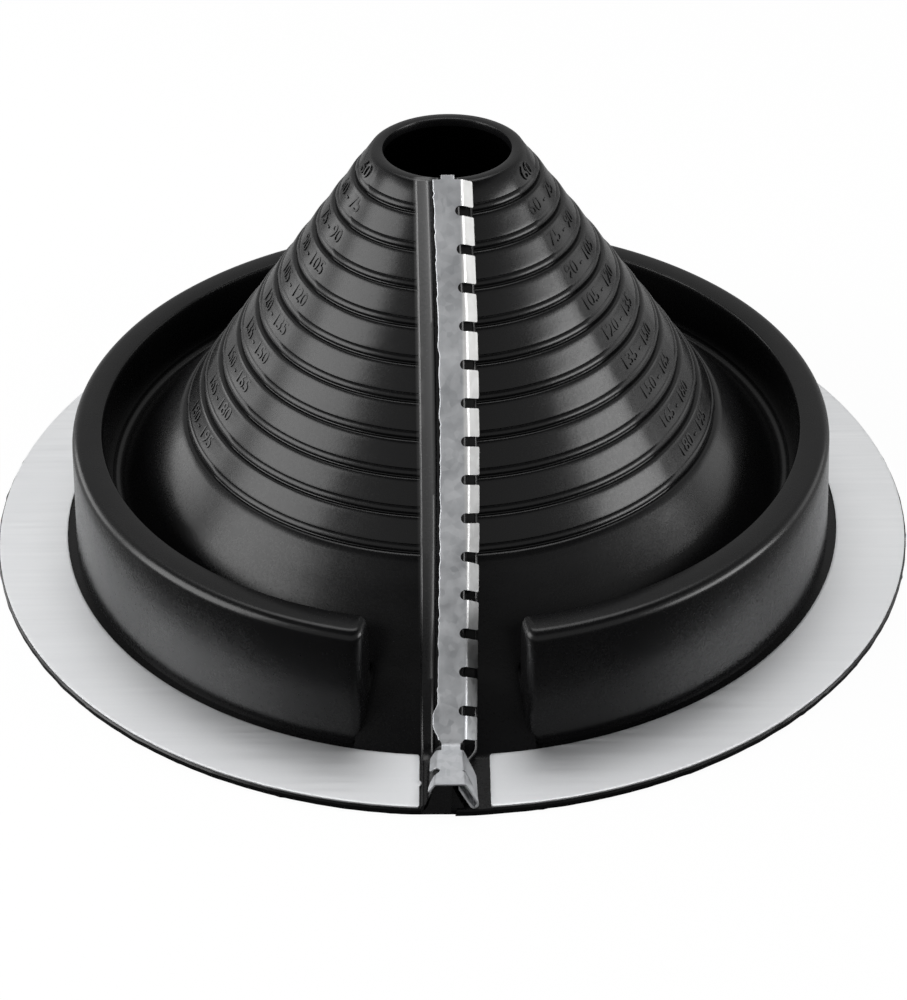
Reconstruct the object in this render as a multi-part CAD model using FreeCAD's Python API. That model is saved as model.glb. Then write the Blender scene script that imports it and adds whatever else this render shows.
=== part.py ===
"""Split rubber boot that flashes a pipe to a metal roof, with its closure strip.

One-piece moulded rubber: a base flange, a C-shaped hollow upstand that takes up
the roof's pitch, and a stepped cone that is trimmed to the pipe at one of its
grooves. The boot is split along its front, and a folded sheet-metal strip grips
the two beads that stand beside the split. A flat aluminium ring stiffens the
flange. +Z is the pipe axis, the flange lies on z = 0 and the split faces -Y.
All lengths are in millimetres and all angles in degrees.
"""
import FreeCAD
import Part
import math
import os

V = FreeCAD.Vector
Z_AXIS = V(0, 0, 1)
ORIGIN = V(0, 0, 0)

# Rubber flange and its stiffening ring
FLANGE_THICKNESS = 2.6
RING_WIDTH = 25.2
RING_THICKNESS = 0.8
RING_MARGIN = 1.0
RING_GAP = 23.8

# Hollow upstand
RUBBER_WALL = 2.8
UPSTAND_HEIGHT = 48.0
UPSTAND_FOOT_RADIUS = 146.0
UPSTAND_RING_MARGIN = 3.8
OUTER_WALL_LEAN = 3.0
RIM_WIDTH = 11.5
INNER_WALL_LEAN = 2.0
RIM_OUTER_ROUND = 3.5
VALLEY_ROUND = 2.5
UPSTAND_END_LEFT = 12.4
UPSTAND_END_RIGHT = 9.9
END_CHAMFER = 2.4
ROUND_CHORDS = 3

# Stepped cone and the plain skirt under it
CONE_HEIGHT = 157.0
LIP_RADIUS = 27.0
LIP_WALL = 4.25
LIP_LAND = 3.0
LIP_CHAMFER = 2.5
CONE_SLOPE = 55.0
STEP_COUNT = 10
STEP_PITCH = 13.0
FIRST_GROOVE = 10.7
GROOVE_WIDTH = 1.3
GROOVE_DEPTH = 0.9
SHOULDER_RISE = 0.9
SHOULDER_LENGTH = 2.0
SKIRT_MARGIN = 0.7

# Split and the beads beside it
SPLIT_WIDTH = 0.4
BAND_HALF_WIDTH = 11.2
BAND_HEIGHT = 1.8
BEAD_HEIGHT = 8.2
BEAD_TOP_HALF_WIDTH = 3.7
BEAD_FOOT_HALF_WIDTH = 3.9
BEAD_END_HALF_WIDTH = 5.2
BAND_END_HALF_WIDTH = 6.6
BEAD_CORE_DEPTH = 1.4

# Folded closure strip
SHEET = 0.6
STRIP_CLEARANCE = 0.2
FREE_LEG_SPREAD = 4.5
LEG_CLEARANCE = 0.4
TAB_HALF_WIDTH = 1.9
TAB_LENGTH = 1.7
SLOT_PITCH = 13.1
SLOT_WIDTH = 3.4
SLOT_REACH = 2.1
NECK_HALF_WIDTH = 3.3
NECK_LENGTH = 3.0
SADDLE_SHIFT = 3.6
SADDLE_SETBACK = 3.0
SADDLE_SHORT_LEG = 4.0
SADDLE_SHORT_SPREAD = 2.2
SADDLE_LONG_SPREAD = 6.0
SADDLE_NOTCH = 1.8
SADDLE_NOTCH_DEPTH = 1.6


def sind(angle):
    return math.sin(math.radians(angle))


def cosd(angle):
    return math.cos(math.radians(angle))


def tand(angle):
    return math.tan(math.radians(angle))


RING_INNER_RADIUS = UPSTAND_FOOT_RADIUS + UPSTAND_RING_MARGIN
RING_OUTER_RADIUS = RING_INNER_RADIUS + RING_WIDTH
FLANGE_RADIUS = RING_OUTER_RADIUS + RING_MARGIN
UPSTAND_RIM_RADIUS = UPSTAND_FOOT_RADIUS - OUTER_WALL_LEAN
BORE_RADIUS = LIP_RADIUS - LIP_WALL

# The generating line: lip, foot of the stepped cone, foot of the skirt, edge.
GROOVES = [FIRST_GROOVE + STEP_PITCH * k for k in range(STEP_COUNT)]
CONE_RUN = GROOVES[-1]
CONE_FOOT = (LIP_RADIUS + CONE_RUN * cosd(CONE_SLOPE),
             CONE_HEIGHT - CONE_RUN * sind(CONE_SLOPE))
SKIRT_FOOT = (RING_INNER_RADIUS - SKIRT_MARGIN, FLANGE_THICKNESS)
SKIRT_DROP = CONE_FOOT[1] - FLANGE_THICKNESS
SKIRT_SLOPE = math.degrees(math.atan2(SKIRT_DROP, SKIRT_FOOT[0] - CONE_FOOT[0]))
SKIRT_RUN = SKIRT_DROP / sind(SKIRT_SLOPE)

CROWN_UNDERSIDE = BEAD_HEIGHT + STRIP_CLEARANCE
CROWN_TOP = CROWN_UNDERSIDE + SHEET
CROWN_HALF_WIDTH = BEAD_FOOT_HALF_WIDTH + STRIP_CLEARANCE + SHEET
LEG_FOOT = BAND_HEIGHT + LEG_CLEARANCE
SADDLE_START = SKIRT_FOOT[0] + CROWN_TOP * tand(SKIRT_SLOPE / 2) + NECK_LENGTH


def cone_point(run, lift=0.0):
    """Point at a distance down the cone from its lip, lifted off the line."""
    return (LIP_RADIUS + run * cosd(CONE_SLOPE) + lift * sind(CONE_SLOPE),
            CONE_HEIGHT - run * sind(CONE_SLOPE) + lift * cosd(CONE_SLOPE))


def unit(start, end):
    length = math.hypot(end[0] - start[0], end[1] - start[1])
    return ((end[0] - start[0]) / length, (end[1] - start[1]) / length)


def round_points(before, corner, after, radius):
    """Points that round a corner in chords between its two tangent points."""
    back = unit(corner, before)
    ahead = unit(corner, after)
    half = math.acos(back[0] * ahead[0] + back[1] * ahead[1]) / 2
    bisector = unit((0.0, 0.0), (back[0] + ahead[0], back[1] + ahead[1]))
    centre = (corner[0] + bisector[0] * radius / math.sin(half),
              corner[1] + bisector[1] * radius / math.sin(half))
    reach = radius / math.tan(half)
    arm = (corner[0] + back[0] * reach - centre[0], corner[1] + back[1] * reach - centre[1])
    turn = math.pi - 2 * half
    if back[0] * ahead[1] - back[1] * ahead[0] > 0:
        turn = -turn
    points = []
    for k in range(ROUND_CHORDS + 1):
        angle = turn * k / ROUND_CHORDS
        points.append((centre[0] + arm[0] * math.cos(angle) - arm[1] * math.sin(angle),
                       centre[1] + arm[0] * math.sin(angle) + arm[1] * math.cos(angle)))
    return points


def revolved(corners, start_angle=0.0, sweep=360.0):
    """Turn (radius, height) corners about Z; angles run from the front, towards +X."""
    outline = [V(radius, 0, height) for radius, height in corners + corners[:1]]
    face = Part.Face(Part.makePolygon(outline))
    solid = face.revolve(ORIGIN, Z_AXIS, sweep)
    solid.rotate(ORIGIN, Z_AXIS, start_angle - 90.0)
    return solid


def step_corners():
    """The stepped line from the lip to the cone's foot, groove by groove."""
    corners = [cone_point(0.0)]
    for run in GROOVES:
        corners.append(cone_point(run - GROOVE_WIDTH / 2))
        corners.append(cone_point(run, -GROOVE_DEPTH))
        if run != GROOVES[-1]:
            corners.append(cone_point(run + SHOULDER_LENGTH, SHOULDER_RISE))
    corners.append(cone_point(CONE_RUN + GROOVE_WIDTH / 2))
    return corners


def inner_line():
    """The inner faces of the rubber under the cone and skirt, top to bottom."""
    lip = (LIP_RADIUS - RUBBER_WALL / sind(CONE_SLOPE), CONE_HEIGHT)
    turn = math.radians((CONE_SLOPE - SKIRT_SLOPE) / 2)
    middle = (CONE_SLOPE + SKIRT_SLOPE) / 2
    reach = RUBBER_WALL / math.cos(turn)
    knee = (CONE_FOOT[0] - reach * sind(middle), CONE_FOOT[1] - reach * cosd(middle))
    foot = knee[0] + knee[1] / tand(SKIRT_SLOPE)
    return lip, knee, foot


def skirt_height(radius):
    """Height of the skirt's outer line at a radius outside the cone's foot."""
    return CONE_FOOT[1] - (radius - CONE_FOOT[0]) * tand(SKIRT_SLOPE)


def cone_solid():
    """Filled cone, skirt and flange, round the whole circle."""
    corners = [(0.0, 0.0), (0.0, CONE_HEIGHT)]
    corners += step_corners()
    corners.append(SKIRT_FOOT)
    corners.append((FLANGE_RADIUS, FLANGE_THICKNESS))
    corners.append((FLANGE_RADIUS, 0.0))
    return revolved(corners)


def upstand_corners(inset):
    """Foot and rim corners of the upstand, or of its hollow when inset by the wall."""
    rim_outer = UPSTAND_RIM_RADIUS - inset
    rim_inner = UPSTAND_RIM_RADIUS - RIM_WIDTH + inset
    top = UPSTAND_HEIGHT - inset
    return [(UPSTAND_FOOT_RADIUS - inset, 0.0), (rim_outer, top), (rim_inner, top),
            (rim_inner - INNER_WALL_LEAN, 0.0)]


def rim_cutter():
    """Ring outside the rounded outer edge of the upstand's rim."""
    foot, rim_outer, rim_inner = upstand_corners(0.0)[:3]
    outside = (rim_outer[0] + RIM_OUTER_ROUND, rim_outer[1] + RIM_OUTER_ROUND)
    return revolved(round_points(foot, rim_outer, rim_inner, RIM_OUTER_ROUND) + [outside])


def upstand_solid():
    """C-shaped upstand, whose inner foot meets the skirt in a rounded valley."""
    foot, rim_outer, rim_inner, inner_foot = upstand_corners(0.0)
    valley = (inner_foot[0], skirt_height(inner_foot[0]))
    skirt_inside = (CONE_FOOT[0] + inner_foot[0]) / 2
    slope_end = (skirt_inside, skirt_height(skirt_inside))
    corners = [foot, rim_outer, rim_inner]
    corners += round_points(rim_inner, valley, slope_end, VALLEY_ROUND)
    corners += [slope_end, (skirt_inside, 0.0)]
    sweep = 360.0 - UPSTAND_END_LEFT - UPSTAND_END_RIGHT
    solid = revolved(corners, UPSTAND_END_RIGHT, sweep)
    solid = solid.makeChamfer(END_CHAMFER, end_edges(solid))
    return solid.cut(rim_cutter())


def end_edges(solid):
    """Outer upright edges at the two ends of the upstand."""
    found = []
    for edge in solid.Edges:
        ends = [vertex.Point for vertex in edge.Vertexes]
        if len(ends) == 2 and abs(ends[0].z - ends[1].z) > UPSTAND_HEIGHT / 2:
            radii = [math.hypot(end.x, end.y) for end in ends]
            if min(radii) > UPSTAND_RIM_RADIUS - RIM_WIDTH / 2:
                found.append(edge)
    return found


def hollow_solid():
    """Air inside the cone, the skirt and the upstand, open at the bottom."""
    lip, knee, foot = inner_line()
    flange_inner = UPSTAND_FOOT_RADIUS - RUBBER_WALL
    floor_rise = (foot - flange_inner) * tand(SKIRT_SLOPE)
    land_end = CONE_HEIGHT - LIP_LAND
    chamfer_end = land_end - LIP_CHAMFER
    throat = lip[0] + (CONE_HEIGHT - chamfer_end) / tand(CONE_SLOPE)
    cone = revolved([(0.0, -1.0), (0.0, CONE_HEIGHT + 1.0), (BORE_RADIUS, CONE_HEIGHT + 1.0),
                     (BORE_RADIUS, land_end), (throat, chamfer_end), knee,
                     (flange_inner, floor_rise), (flange_inner, -1.0)])
    wall_angle = math.degrees(RUBBER_WALL / UPSTAND_RIM_RADIUS)
    sweep = 360.0 - UPSTAND_END_LEFT - UPSTAND_END_RIGHT - 2 * wall_angle
    channel = revolved(upstand_corners(RUBBER_WALL), UPSTAND_END_RIGHT + wall_angle, sweep)
    return cone.fuse(channel)


def seam_stations(start_run):
    """Lip, knee and foot of the seam's path with the mitre at each of them.

    Each station is (radius, height, mitre radius, mitre height): a point lifted
    by n off the path lies at the corner plus n times the mitre.
    """
    start = cone_point(start_run)
    turn_top = math.radians(CONE_SLOPE - SKIRT_SLOPE) / 2
    turn_foot = math.radians(SKIRT_SLOPE) / 2
    middle_top = (CONE_SLOPE + SKIRT_SLOPE) / 2
    middle_foot = SKIRT_SLOPE / 2
    return [(start[0], start[1], sind(CONE_SLOPE), cosd(CONE_SLOPE)),
            (CONE_FOOT[0], CONE_FOOT[1],
             sind(middle_top) / math.cos(turn_top), cosd(middle_top) / math.cos(turn_top)),
            (SKIRT_FOOT[0], SKIRT_FOOT[1],
             sind(middle_foot) / math.cos(turn_foot), cosd(middle_foot) / math.cos(turn_foot))]


def saddle_stations(inset):
    """Start and end of the saddle on the flange; its end leans back from the edge."""
    lean = -SADDLE_SETBACK / CROWN_TOP
    return [(SADDLE_START, FLANGE_THICKNESS, 0.0, 1.0),
            (FLANGE_RADIUS - inset, FLANGE_THICKNESS, lean, 1.0)]


def station_wire(station, section):
    """Closed section wire of (x, lift) points at one station of the seam."""
    radius, height, mitre_r, mitre_z = station
    points = [V(x, -(radius + lift * mitre_r), height + lift * mitre_z) for x, lift in section]
    points.append(points[0])
    return Part.makePolygon(points)


def ruled_run(first, second, first_section, second_section):
    """Solid between two stations of the seam's path."""
    wires = [station_wire(first, first_section), station_wire(second, second_section)]
    return Part.makeLoft(wires, True, True)


def joined(solids):
    result = solids[0]
    for solid in solids[1:]:
        result = result.fuse(solid)
    return result.removeSplitter()


def bead_section(shift, foot_half, band_half):
    """Low band across the split with the tall bead standing on it."""
    core = -BEAD_CORE_DEPTH
    half_outline = [(band_half, core), (band_half, BAND_HEIGHT), (foot_half, BAND_HEIGHT),
                    (BEAD_TOP_HALF_WIDTH, BEAD_HEIGHT)]
    right = [(shift + x, lift) for x, lift in half_outline]
    left = [(shift - x, lift) for x, lift in reversed(half_outline)]
    return right + left


def seam_bar():
    """Band and beads along the split, from the lip to the flange's edge."""
    lip, knee, foot = seam_stations(0.0)
    seat, end = saddle_stations(SHEET)
    straight = bead_section(0.0, BEAD_FOOT_HALF_WIDTH, BAND_HALF_WIDTH)
    pulled = bead_section(-SADDLE_SHIFT, BEAD_END_HALF_WIDTH, BAND_END_HALF_WIDTH)
    return joined([ruled_run(lip, knee, straight, straight),
                   ruled_run(knee, foot, straight, straight),
                   ruled_run(foot, seat, straight, pulled),
                   ruled_run(seat, end, pulled, pulled)])


def rubber_boot():
    envelope = cone_solid().fuse(upstand_solid())
    envelope = envelope.fuse(seam_bar())
    boot = envelope.cut(hollow_solid())
    split = Part.makeBox(SPLIT_WIDTH, FLANGE_RADIUS + 1.0, CONE_HEIGHT + 20.0,
                         V(-SPLIT_WIDTH / 2, -FLANGE_RADIUS - 1.0, -1.0))
    boot = boot.cut(split)
    return boot.removeSplitter()


def base_ring():
    """Flat C-shaped ring bonded on the flange, open where the seam crosses it."""
    outer = Part.makeCylinder(RING_OUTER_RADIUS, RING_THICKNESS, V(0, 0, FLANGE_THICKNESS))
    inner = Part.makeCylinder(RING_INNER_RADIUS, RING_THICKNESS, V(0, 0, FLANGE_THICKNESS))
    gap = Part.makeBox(RING_GAP, RING_OUTER_RADIUS, 2 * RING_THICKNESS,
                       V(-RING_GAP / 2, -RING_OUTER_RADIUS, FLANGE_THICKNESS - RING_THICKNESS / 2))
    return outer.cut(inner).cut(gap)


def grip_section():
    """Folded strip on the cone: one leg crimped to the bead, one leg open."""
    crown = CROWN_HALF_WIDTH
    inner = crown - SHEET
    spread = crown + FREE_LEG_SPREAD
    depth = CROWN_TOP - LEG_FOOT
    side = SHEET * math.hypot(depth, FREE_LEG_SPREAD) / depth
    shoulder = crown - (side - FREE_LEG_SPREAD * SHEET / depth)
    return [(-crown, CROWN_TOP), (-crown, LEG_FOOT), (-inner, LEG_FOOT), (-inner, CROWN_UNDERSIDE),
            (shoulder, CROWN_UNDERSIDE), (spread - side, LEG_FOOT), (spread, LEG_FOOT),
            (crown, CROWN_TOP)]


def flat_section(half):
    """Flat piece of the crown, such as the neck or the end tab."""
    return [(-half, CROWN_TOP), (-half, CROWN_UNDERSIDE), (half, CROWN_UNDERSIDE),
            (half, CROWN_TOP)]


def saddle_section():
    """Uncrimped end over the flange: short leg, crown and long hemmed leg."""
    left = -SADDLE_SHIFT - CROWN_HALF_WIDTH
    right = -SADDLE_SHIFT + CROWN_HALF_WIDTH
    left_foot = CROWN_TOP - SADDLE_SHORT_LEG
    right_foot = SHEET
    reach = right + SADDLE_LONG_SPREAD
    slant = SHEET * math.hypot(SADDLE_LONG_SPREAD, CROWN_TOP) / CROWN_TOP
    tilt = SHEET * math.hypot(SADDLE_SHORT_SPREAD, SADDLE_SHORT_LEG) / SADDLE_SHORT_LEG
    return [(left, CROWN_TOP), (left - SADDLE_SHORT_SPREAD, left_foot),
            (left - SADDLE_SHORT_SPREAD + tilt, left_foot), (left + tilt, CROWN_UNDERSIDE),
            (right - slant / 2, CROWN_UNDERSIDE), (reach - slant, right_foot),
            (reach, right_foot), (right, CROWN_TOP)]


def point_between(first, second, share):
    return tuple(a + (b - a) * share for a, b in zip(first, second))


def placed_on_seam(shape, run):
    """Turn a shape built on the XY plane onto the seam at a distance from the lip."""
    if run <= CONE_RUN:
        point = cone_point(run)
        slope = CONE_SLOPE
    else:
        extra = run - CONE_RUN
        point = (CONE_FOOT[0] + extra * cosd(SKIRT_SLOPE),
                 CONE_FOOT[1] - extra * sind(SKIRT_SLOPE))
        slope = SKIRT_SLOPE
    shape.rotate(ORIGIN, V(1, 0, 0), slope)
    shape.translate(V(0, -point[0], point[1]))
    return shape


def slot_tool(run):
    """Round-ended cutter across the open leg."""
    centre_x = CROWN_HALF_WIDTH - SLOT_REACH + SLOT_WIDTH / 2
    length = FREE_LEG_SPREAD + SLOT_REACH + 2.0
    height = CROWN_TOP + 2.0
    bottom = LEG_FOOT - 1.0
    barrel = Part.makeCylinder(SLOT_WIDTH / 2, height, V(centre_x, 0, bottom))
    block = Part.makeBox(length, SLOT_WIDTH, height, V(centre_x, -SLOT_WIDTH / 2, bottom))
    return placed_on_seam(barrel.fuse(block), run)


def slot_runs():
    """Distances from the lip of the slots, evenly spaced along the crown."""
    half_turn = (CONE_SLOPE - SKIRT_SLOPE) / 2
    knee_loss = 2 * CROWN_TOP * tand(half_turn)
    last = CONE_RUN + SKIRT_RUN - STEP_PITCH / 2 - CROWN_TOP * tand(SKIRT_SLOPE / 2)
    runs = []
    run = FIRST_GROOVE
    while run < last:
        runs.append(run)
        run += SLOT_PITCH
        if runs[-1] <= CONE_RUN + SLOT_WIDTH and run > CONE_RUN + SLOT_WIDTH:
            run += knee_loss
    return runs


def saddle_notches():
    """Pair of cutters that part the saddle's two teeth on each side."""
    base = FLANGE_THICKNESS
    height = CROWN_TOP + SHEET
    left = -SADDLE_SHIFT - CROWN_HALF_WIDTH + SADDLE_NOTCH_DEPTH
    right = -SADDLE_SHIFT + CROWN_HALF_WIDTH - SADDLE_NOTCH_DEPTH
    reach = SADDLE_LONG_SPREAD + 2 * SADDLE_NOTCH_DEPTH
    corner = -(SADDLE_START + FLANGE_RADIUS + SADDLE_NOTCH) / 2
    return [Part.makeBox(reach, SADDLE_NOTCH, height, V(left - reach, corner, base)),
            Part.makeBox(reach, SADDLE_NOTCH, height, V(right, corner, base))]


def closure_strip():
    """Folded castellated strip: gripping run, neck and saddle in one sheet."""
    lip, knee, foot = seam_stations(0.0)
    seat, end = saddle_stations(0.0)
    tab_end = seam_stations(-TAB_LENGTH)[0]
    neck_share = (NECK_LENGTH + CROWN_TOP * tand(SKIRT_SLOPE / 2)) / SKIRT_RUN
    grip_end = point_between(foot, knee, neck_share)[:2] + (sind(SKIRT_SLOPE), cosd(SKIRT_SLOPE))
    grip = grip_section()
    neck = flat_section(NECK_HALF_WIDTH)
    tab = flat_section(TAB_HALF_WIDTH)
    saddle = saddle_section()
    gripping = joined([ruled_run(lip, knee, grip, grip), ruled_run(knee, grip_end, grip, grip)])
    for run in slot_runs():
        gripping = gripping.cut(slot_tool(run))
    seated = ruled_run(seat, end, saddle, saddle)
    for cutter in saddle_notches():
        seated = seated.cut(cutter)
    return joined([gripping, ruled_run(tab_end, lip, tab, tab),
                   ruled_run(grip_end, foot, neck, neck),
                   ruled_run(foot, seat, neck, neck), seated])


NODES = {
    "rubber_boot": rubber_boot,
    "base_ring": base_ring,
    "closure_strip": closure_strip,
}

os.makedirs("parts", exist_ok=True)
for name, build in NODES.items():
    shape = build()
    shape.exportStep("parts/" + name + ".step")
    print(name, shape.isValid(), len(shape.Solids), round(shape.Volume), shape.BoundBox)
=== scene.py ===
"""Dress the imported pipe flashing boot: rubber moulding, base ring and closure strip.

Lengths are written in millimetres and turned into metres as each mesh is made.
Azimuths run from the seam at -Y towards +X.
"""
import bmesh
import bpy
import math
from mathutils import Matrix, Vector, noise


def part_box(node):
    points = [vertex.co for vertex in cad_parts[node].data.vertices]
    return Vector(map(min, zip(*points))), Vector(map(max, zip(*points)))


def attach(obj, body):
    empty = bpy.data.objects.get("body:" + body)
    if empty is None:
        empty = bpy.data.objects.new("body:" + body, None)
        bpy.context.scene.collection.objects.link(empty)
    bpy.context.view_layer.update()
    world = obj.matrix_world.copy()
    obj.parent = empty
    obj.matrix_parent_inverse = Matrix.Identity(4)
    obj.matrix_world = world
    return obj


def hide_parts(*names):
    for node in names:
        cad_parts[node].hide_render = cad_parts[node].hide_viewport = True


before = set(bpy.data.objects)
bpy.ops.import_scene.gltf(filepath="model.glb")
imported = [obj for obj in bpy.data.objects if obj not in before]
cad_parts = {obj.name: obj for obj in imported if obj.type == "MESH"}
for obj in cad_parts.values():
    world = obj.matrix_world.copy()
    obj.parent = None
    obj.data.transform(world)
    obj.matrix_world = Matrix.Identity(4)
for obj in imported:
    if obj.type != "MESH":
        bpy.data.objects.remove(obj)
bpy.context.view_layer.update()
MM = 0.001

# Sizes that the frame gives
BOOT_LOW, BOOT_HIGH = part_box("rubber_boot")
RING_LOW, RING_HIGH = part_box("base_ring")
FLANGE_RADIUS = BOOT_HIGH[0] / MM
FLANGE_THICKNESS = RING_LOW[2] / MM
RING_OUTER_RADIUS = RING_HIGH[0] / MM
RING_TOP = RING_HIGH[2] / MM

# Flange and ring
RING_INNER_RADIUS = 149.1
RING_GAP = 23.8
RING_EDGE_ROUND = 0.15
RING_LIFT = 0.03
RING_COLUMNS = 320
RING_ROWS = 26
EDGE_FLASH = 0.35

# Hollow upstand
RUBBER_WALL = 2.8
UPSTAND_HEIGHT = 48.0
UPSTAND_FOOT_RADIUS = 146.0
UPSTAND_RIM_RADIUS = 143.0
RIM_WIDTH = 11.5
INNER_WALL_LEAN = 2.0
RIM_OUTER_ROUND = 3.5
RIM_INNER_ROUND = 1.0
VALLEY_ROUND = 2.5
UPSTAND_END_LEFT = 12.4
UPSTAND_END_RIGHT = 9.9
END_OUTER_ROUND = 4.5
END_INNER_ROUND = 2.5

# Stepped cone and plain skirt
CONE_HEIGHT = 157.0
LIP_RADIUS = 27.0
BORE_RADIUS = 22.75
LIP_ROUND = 0.9
LIP_LAND = 3.0
THROAT_DEPTH = 5.5
CONE_SLOPE = 55.0
STEP_COUNT = 10
STEP_PITCH = 13.0
FIRST_GROOVE = 10.7
GROOVE_DEPTH = 0.9
TRIM_LINE_RISE = 2.83
TRIM_LINE_DEPTH = 0.3
SKIRT_FOOT_RADIUS = 149.1

# Split, band and beads
SPLIT_WIDTH = 0.06
SPLIT_ANGLE = 0.2
BAND_HALF_WIDTH = 11.2
RIGHT_BAND_HALF_WIDTH = 8.4
BAND_HEIGHT = 1.8
BEAD_HEIGHT = 8.2
BEAD_TOP_HALF_WIDTH = 3.7
BEAD_FOOT_HALF_WIDTH = 3.9
BEAD_END = {-1.0: (4.5, 6.4, 9.2), 1.0: (2.0, 4.6, 5.6)}
SPLIT_SLANT = 0.05
BEAD_CORE_DEPTH = 1.4
RIGHT_BEAD_SETBACK = 0.9
SEAM_KNEE_ROUND = 30.0
SEAM_FOOT_ROUND = 12.0

# Folded closure strip
SHEET = 0.6
CROWN_TOP = 9.0
CROWN_HALF_WIDTH = 4.7
FOLD_ROUND = 1.1
CRIMP_ROUND = 0.06
LEG_DROP = 6.8
FREE_LEG_SPREAD = 3.5
SLOT_PITCH = 13.1
SLOT_COUNT = 14
SLOT_WIDTH = 3.4
SLOT_REACH = 2.5
TOOTH_CORNER = 0.7
SADDLE_RUN_IN = 6.8
SADDLE_SHIFT = 1.6
SADDLE_SETBACK = 3.0
SADDLE_HALF_START = 4.3
SADDLE_HALF_END = 5.1
SADDLE_SHORT_LEG = 3.0
SADDLE_SHORT_FOLD = 50.0
SADDLE_LONG_LEG = 7.6
SADDLE_LONG_FOLD = 57.0
HEM_ROUND = 1.25
HEM_RETURN = 7.0
SADDLE_SLIT = (0.60, 0.635)
SADDLE_SLIT_SLANT = 0.23
SADDLE_NOTCH = (0.42, 0.57)
SADDLE_NOTCH_DEPTH = 1.4
NECK_LEFT = (-4.3, -3.4)
NECK_RIGHT = (4.4, 2.9)
SEAM_BOW = 1.35
SEAM_BOW_SPAN = 155.0

# Middle and half width, in degrees, of the zones that carry the size numbers
LABEL_ZONES = ((68.0, 15.0), (-74.0, 14.0))

# Steps round the axis, along an upstand arc, round a corner and along the seam
SEGMENTS = 288
ARC_STEPS = 230
ROUND_STEPS = 6
BEND_STEPS = 10
SEAM_STEP = 0.8

MERGE_DISTANCE = 0.004
SHEET_MERGE_DISTANCE = 0.002


def sind(angle):
    return math.sin(math.radians(angle))


def cosd(angle):
    return math.cos(math.radians(angle))


def smoothstep(low, high, value):
    share = max(0.0, min(1.0, (value - low) / (high - low)))
    return share * share * (3.0 - 2.0 * share)


def blend(a, b, share):
    return a + (b - a) * share


def cone_point(run, lift=0.0):
    """(radius, height) at a distance down the cone from its lip, lifted off it."""
    return (LIP_RADIUS + run * cosd(CONE_SLOPE) + lift * sind(CONE_SLOPE),
            CONE_HEIGHT - run * sind(CONE_SLOPE) + lift * cosd(CONE_SLOPE))


GROOVES = [FIRST_GROOVE + STEP_PITCH * k for k in range(STEP_COUNT)]
CONE_RUN = GROOVES[-1]
CONE_FOOT = cone_point(CONE_RUN)
SKIRT_FOOT = (SKIRT_FOOT_RADIUS, FLANGE_THICKNESS)
SKIRT_SLOPE = math.degrees(math.atan2(CONE_FOOT[1] - SKIRT_FOOT[1],
                                      SKIRT_FOOT[0] - CONE_FOOT[0]))
UPSTAND_INNER_FOOT = UPSTAND_RIM_RADIUS - RIM_WIDTH - INNER_WALL_LEAN


def skirt_height(radius, lift=0.0):
    return (CONE_FOOT[1] - (radius - CONE_FOOT[0]) * math.tan(math.radians(SKIRT_SLOPE))
            + lift / cosd(SKIRT_SLOPE))


def around(radius, azimuth, height):
    """Point in millimetres at a radius, an azimuth in degrees and a height."""
    return Vector((radius * sind(azimuth), -radius * cosd(azimuth), height))


# Meshes and node trees --------------------------------------------------------

def new_object(name, mesh):
    piece = bpy.data.objects.new(name, mesh)
    bpy.context.scene.collection.objects.link(piece)
    return piece


def mesh_from(name, points, faces=(), edges=()):
    """Mesh whose points are given in millimetres."""
    mesh = bpy.data.meshes.new(name)
    mesh.from_pydata([Vector(point) * MM for point in points], list(edges), list(faces))
    mesh.update()
    return mesh


def grid_faces(rows, width, ring=False, skip=lambda i, j: False):
    """Quads between rows of points; ring also joins each row's end to its start."""
    quads = []
    for i in range(rows - 1):
        for j in range(width if ring else width - 1):
            near = (j + 1) % width
            if not skip(i, j):
                quads.append((i * width + j, i * width + near,
                              (i + 1) * width + near, (i + 1) * width + j))
    return quads


def closed_up(mesh):
    """Merge doubles, fill open ends and turn every face outwards."""
    shape = bmesh.new()
    shape.from_mesh(mesh)
    bmesh.ops.remove_doubles(shape, verts=shape.verts, dist=MERGE_DISTANCE * MM)
    rims = [edge for edge in shape.edges if edge.is_boundary]
    if rims:
        bmesh.ops.holes_fill(shape, edges=rims, sides=0)
    bmesh.ops.recalc_face_normals(shape, faces=shape.faces)
    shape.to_mesh(mesh)
    shape.free()
    return mesh


def closed_flat(mesh):
    """Merge the doubles of an open sheet and turn its faces upwards."""
    shape = bmesh.new()
    shape.from_mesh(mesh)
    bmesh.ops.remove_doubles(shape, verts=shape.verts, dist=SHEET_MERGE_DISTANCE * MM)
    bmesh.ops.recalc_face_normals(shape, faces=shape.faces)
    total = sum((face.normal for face in shape.faces), Vector())
    if total.z < 0:
        bmesh.ops.reverse_faces(shape, faces=shape.faces)
    shape.to_mesh(mesh)
    shape.free()
    return mesh


def shaded(mesh, angle):
    mesh.shade_smooth()
    mesh.set_sharp_from_angle(angle=math.radians(angle))
    return mesh


def joined(name, meshes):
    """One mesh from several, with their points where they are."""
    shape = bmesh.new()
    for mesh in meshes:
        shape.from_mesh(mesh)
    result = bpy.data.meshes.new(name)
    shape.to_mesh(result)
    shape.free()
    return result


def with_modifiers(mesh, settings):
    """The mesh after a list of (modifier type, {property: value})."""
    piece = new_object("work_" + mesh.name, mesh)
    for kind, values in settings:
        modifier = piece.modifiers.new(kind.title(), kind)
        for key, value in values.items():
            setattr(modifier, key, value)
    return evaluated(piece)


def evaluated(piece):
    """Plain mesh of an object with its modifiers, and the object deleted."""
    graph = bpy.context.evaluated_depsgraph_get()
    graph.update()
    mesh = bpy.data.meshes.new_from_object(piece.evaluated_get(graph), depsgraph=graph)
    bpy.data.objects.remove(piece)
    return mesh


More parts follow.
